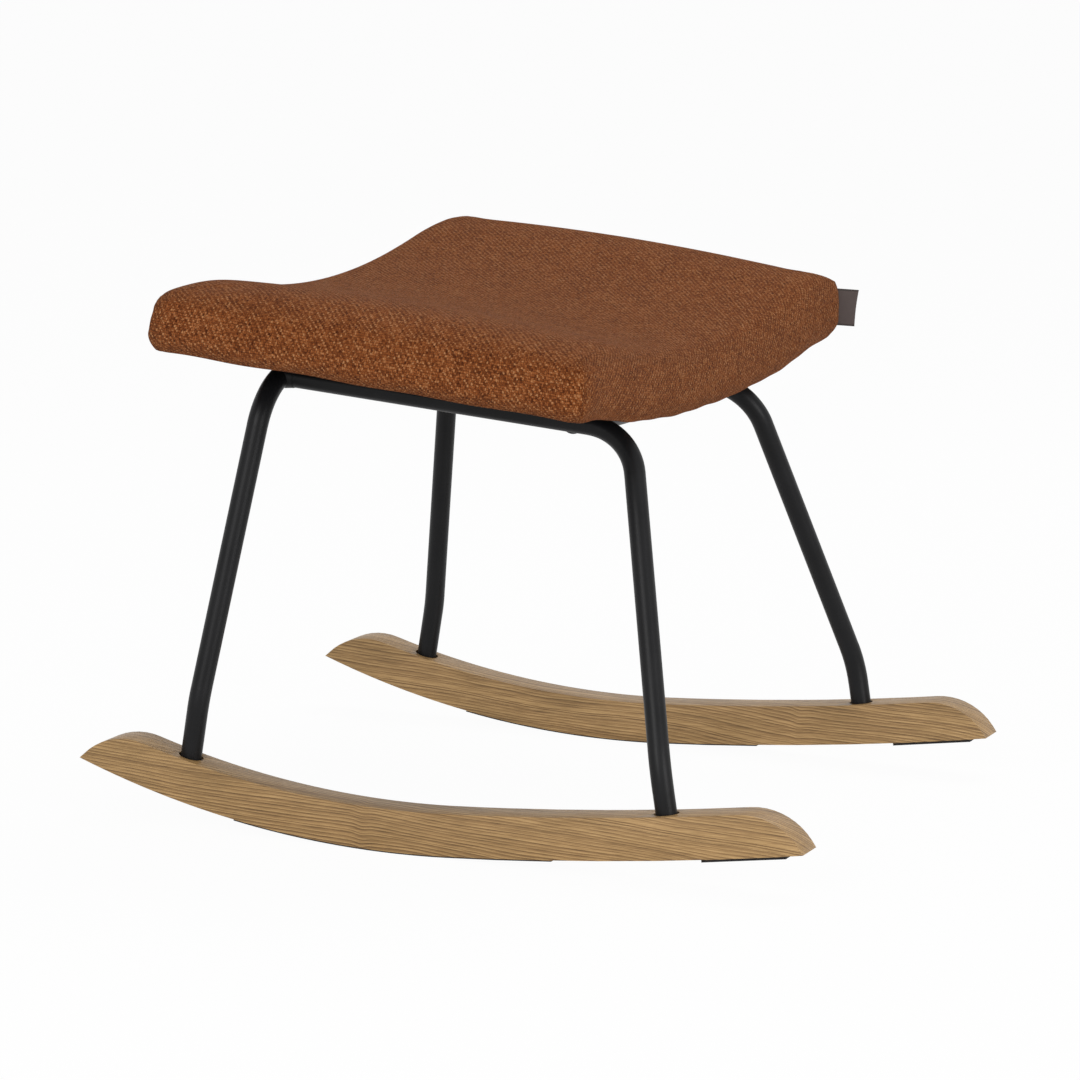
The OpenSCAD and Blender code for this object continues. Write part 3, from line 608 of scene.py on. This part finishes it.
# The weave: bundles of three strands in a diagonal twill. Every strand and bundle has
# its own shade, and the yarn is uneven along its way. The shifts are in bundles.
bundle_pitch = (0.0015, 0.0018)
strands = 3
twill_repeat = 3.0
weft_share = 0.34
slow_shift = 0.9
quick_shift = 1.1
yarn_contrast = 1.55
yarn_darkening = 0.77
rust_stops = (
    (0.00, (0.075, 0.017, 0.004)), (0.25, (0.142, 0.036, 0.009)), (0.50, (0.232, 0.064, 0.016)),
    (0.75, (0.330, 0.100, 0.028)), (0.92, (0.420, 0.155, 0.052)), (1.00, (0.490, 0.215, 0.085)))


def vector(tree, operation, *values):
    """The result of a Vector Math node."""
    return add(tree, "ShaderNodeVectorMath", enumerate(values), operation=operation).outputs[0]


def weave_material():
    """The cover's cloth, worked out from its place on the unfolded cross."""
    material, tree, shader = principled("rust_weave", {
        "Roughness": 0.92, "Specular IOR Level": 0.08, "Sheen Weight": 0.09, "Sheen Roughness": 0.3,
        "Sheen Tint": (0.84, 0.62, 0.42, 1)})
    place = add(tree, "ShaderNodeUVMap", uv_map="cloth").outputs[0]

    # Where a point lies among the bundles, and in its own bundle. Slow and quick noise
    # push the bundles about, so that no two are alike.
    wobble = noise(tree, place, 2.0, scale=120.0, dimensions="2D")
    fuzz = noise(tree, place, 3.0, scale=620.0, roughness=0.6, dimensions="2D")
    bundles = vector(tree, "MULTIPLY", place, (1 / bundle_pitch[0], 1 / bundle_pitch[1], 1))
    bundles = vector(tree, "MULTIPLY_ADD", wobble.outputs["Color"], (slow_shift, slow_shift, 0), bundles)
    bundles = vector(tree, "MULTIPLY_ADD", fuzz.outputs["Color"], (quick_shift, quick_shift, 0), bundles)
    cell = vector(tree, "FLOOR", bundles)
    cell_at = add(tree, "ShaderNodeSeparateXYZ", {0: cell}).outputs
    within = add(tree, "ShaderNodeSeparateXYZ", {0: vector(tree, "FRACTION", bundles)}).outputs

    # Where the weft lies on top of the warp.
    diagonal = calc(tree, "ADD", calc(tree, "ADD", cell_at["X"], cell_at["Y"]), 0.5)
    repeat = calc(tree, "FRACT", calc(tree, "DIVIDE", diagonal, twill_repeat))
    weft_on_top = calc(tree, "LESS_THAN", repeat, weft_share)

    def on_top(warp_value, weft_value):
        return add(tree, "ShaderNodeMix", {0: weft_on_top, 2: warp_value, 3: weft_value}).outputs[0]

    # The shades of strand, bundle and yarn, with fuzz, slubs and a faint cloud over all.
    strand_place = calc(tree, "MULTIPLY", on_top(within["X"], within["Y"]), float(strands))
    strand_key = add(tree, "ShaderNodeCombineXYZ", {
        "X": cell_at["X"], "Y": cell_at["Y"], "Z": calc(tree, "FLOOR", strand_place)}).outputs[0]
    strand_chance = add(tree, "ShaderNodeTexWhiteNoise", {"Vector": strand_key},
                        noise_dimensions="3D").outputs["Value"]
    bundle_chance = add(tree, "ShaderNodeTexWhiteNoise", {"Vector": cell},
                        noise_dimensions="2D").outputs["Value"]
    warp_yarn = noise(tree, vector(tree, "MULTIPLY", cell, (7.3, 0.4, 0)), 1.0, dimensions="2D")
    weft_yarn = noise(tree, vector(tree, "MULTIPLY", cell, (0.4, 5.7, 0)), 1.0, dimensions="2D")
    cloud = noise(tree, place, 3.0, scale=28.0, dimensions="2D")
    slub = noise(tree, vector(tree, "MULTIPLY", place, (110, 620, 1)), 2.0, dimensions="2D")
    tone = -0.30
    for shade, share in (
            (on_top(warp_yarn.outputs[0], weft_yarn.outputs[0]), 0.55), (strand_chance, 0.30),
            (bundle_chance, 0.18), (cloud.outputs[0], 0.16), (fuzz.outputs[0], 0.55),
            (slub.outputs[0], 0.45), (weft_on_top, 0.22)):
        tone = calc(tree, "MULTIPLY_ADD", shade, share, tone)
    yarn = ramp(tree, calc(tree, "MULTIPLY_ADD", tone, yarn_contrast, -yarn_darkening), rust_stops)

    # A bundle is a little pillow: round across, and dipping where the next one crosses it.
    def swelling(value):
        return calc(tree, "SINE", calc(tree, "MULTIPLY", value, pi))

    pillow = calc(tree, "POWER", calc(
        tree, "MULTIPLY", swelling(within["X"]), swelling(within["Y"])), 0.55)
    relief = calc(tree, "MULTIPLY_ADD", calc(tree, "ABSOLUTE", swelling(strand_place)), 0.30, pillow)
    relief = calc(tree, "MULTIPLY_ADD", bundle_chance, 0.35, relief)
    relief = calc(tree, "MULTIPLY_ADD", weft_on_top, 0.45, relief)
    shadowed = ramp(tree, pillow, ((0.0, (0.38, 0.34, 0.32)), (0.6, (1.0, 1.0, 1.0))))
    painted(tree, shader, multiplied(tree, yarn, shadowed, 0.85), relief, 0.9, 0.0008)
    return material


block, quads, cloth_places = block_grid()
cushion = built("cushion", seat_to_stool(rounded(block)), quads)
cloth_map = cushion.data.uv_layers.new(name="cloth")
cloth_map.data.foreach_set("uv", np.array(cloth_places, np.float32).ravel())
shape = bmesh.new()
shape.from_mesh(cushion.data)
bmesh.ops.recalc_face_normals(shape, faces=shape.faces)
shape.to_mesh(cushion.data)
shape.free()
swell(cushion, block)
sew(cushion, block)
cushion.data.materials.append(weave_material())
smooth = cushion.modifiers.new("subdivision", "SUBSURF")
smooth.levels = smooth.render_levels = 1
smooth.uv_smooth = "NONE"
finish(cushion)
cushion.data.shade_smooth()
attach(cushion, "root")
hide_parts("seat_cover", "seat_foam")

# Dust cover: thin black non-woven cloth, stapled under the seat. It lies close below
# the cushion and ripples a little between its edges.
dust_inset = 0.020
dust_gap = 0.0004
dust_t = 0.0008
dust_step = 0.008
ripple_height = 0.0003
ripple_lengths = (0.04, 0.045)
ripple_fade = 0.02
dust_half_x = half_l - dust_inset
dust_half_y = half_w - dust_inset


def grid_quads(columns, rows):
    """The quads between points that lie in rows of so many columns."""
    return [
        (r * columns + c, r * columns + c + 1, (r + 1) * columns + c + 1, (r + 1) * columns + c)
        for r in range(rows - 1) for c in range(columns - 1)]


felt = grainy_material(
    "black_dust_cloth", {"Roughness": 0.95, "Sheen Weight": 0.1}, 700, 3.0,
    ((0.3, (0.008, 0.008, 0.008)), (0.7, (0.022, 0.022, 0.022))), 0.3, 0.0004)
dust_columns = round(2 * dust_half_x / dust_step) + 1
dust_rows = round(2 * dust_half_y / dust_step) + 1
grid_x, grid_y = [places.ravel() for places in np.meshgrid(
    np.linspace(-dust_half_x, dust_half_x, dust_columns),
    np.linspace(-dust_half_y, dust_half_y, dust_rows))]
from_rim = np.minimum(dust_half_x - np.abs(grid_x), dust_half_y - np.abs(grid_y))
ripple = ripple_height * np.clip(from_rim / ripple_fade, 0, 1)
ripple *= np.sin(grid_x * 2 * pi / ripple_lengths[0]) * np.sin(grid_y * 2 * pi / ripple_lengths[1])
dust_points = np.column_stack((grid_x, grid_y, saddle(grid_y, seat_t + dust_gap) - ripple))
dust_cloth = built("dust_cloth", seat_to_stool(dust_points), grid_quads(dust_columns, dust_rows))
dust_cloth.data.shade_smooth()
dust_cloth.data.materials.append(felt)
thickness = dust_cloth.modifiers.new("thickness", "SOLIDIFY")
thickness.thickness = dust_t
thickness.offset = -1
finish(dust_cloth)
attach(dust_cloth, "root")
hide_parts("dust_cover")

# Label: a bare woven tape, folded double. Its two ends are caught in the cushion's
# corner seam, at the front of the left end, and its fold sways a little.
label_h = 0.030
label_reach = 0.017
label_drop = 0.009
label_turn = radians(35)
label_corner = 0.014
label_tuck = 0.004
label_sway = 0.0012
label_rows = 16
label_steps = 12
fold_steps = 6
fold_r = 0.0004
tape_t = 0.0004


def tape_material():
    """Brown ribbed tape with a darker selvedge along both edges."""
    material, tree, shader = principled("brown_tape", {"Roughness": 0.85, "Sheen Weight": 0.15})
    rib = add(tree, "ShaderNodeTexWave", {
        "Vector": stretched(tree, (1, 1, 1)), "Scale": 420.0, "Distortion": 0.6},
        wave_type="BANDS", bands_direction="Z").outputs[0]
    place = add(tree, "ShaderNodeUVMap", uv_map="tape").outputs[0]
    across = add(tree, "ShaderNodeSeparateXYZ", {0: place}).outputs["Y"]
    from_edge = calc(tree, "MINIMUM", across, calc(tree, "SUBTRACT", 1.0, across))
    selvedge = ramp(tree, from_edge, ((0.03, (0.45, 0.42, 0.40)), (0.06, (1.0, 1.0, 1.0))))
    colour = ramp(tree, rib, ((0.2, (0.048, 0.034, 0.031)), (0.8, (0.088, 0.064, 0.058))))
    painted(tree, shader, multiplied(tree, colour, selvedge), rib, 0.5, 0.0002)
    return material


# The tape's way, seen from above: out from the seam, round the fold and back.
inner_end = label_corner - label_tuck
outer_end = label_corner + label_reach - fold_r - tape_t
outward = [inner_end + (outer_end - inner_end) * i / label_steps for i in range(label_steps + 1)]
path = [(reach, fold_r) for reach in outward]
path += [
    (outer_end + fold_r * sin(pi * i / fold_steps), fold_r * cos(pi * i / fold_steps))
    for i in range(1, fold_steps)]
path += [(reach, -fold_r) for reach in reversed(outward)]
label_root = Vector((half_l - label_corner, half_w - label_corner))
label_top = float(saddle(np.array([label_root.y]), 0)[0]) - label_drop
label_points = []
for row in range(label_rows + 1):
    share = row / label_rows
    for reach, side in path:
        swayed = side + label_sway * ((reach - inner_end) / label_reach) ** 2 * sin(pi * share)
        label_points.append((
            label_root.x + reach * cos(label_turn) - swayed * sin(label_turn),
            label_root.y + reach * sin(label_turn) + swayed * cos(label_turn),
            label_top - label_h * share))
bare_label = built("bare_label", seat_to_stool(label_points), grid_quads(len(path), label_rows + 1))
tape_map = bare_label.data.uv_layers.new(name="tape")
for loop in bare_label.data.loops:
    row, column = divmod(loop.vertex_index, len(path))
    tape_map.data[loop.index].uv = (column / (len(path) - 1), row / label_rows)
bare_label.data.shade_smooth()
bare_label.data.materials.append(tape_material())
tape_body = bare_label.modifiers.new("thickness", "SOLIDIFY")
tape_body.thickness = tape_t
tape_body.offset = 0
finish(bare_label)
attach(bare_label, "root")
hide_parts("label")
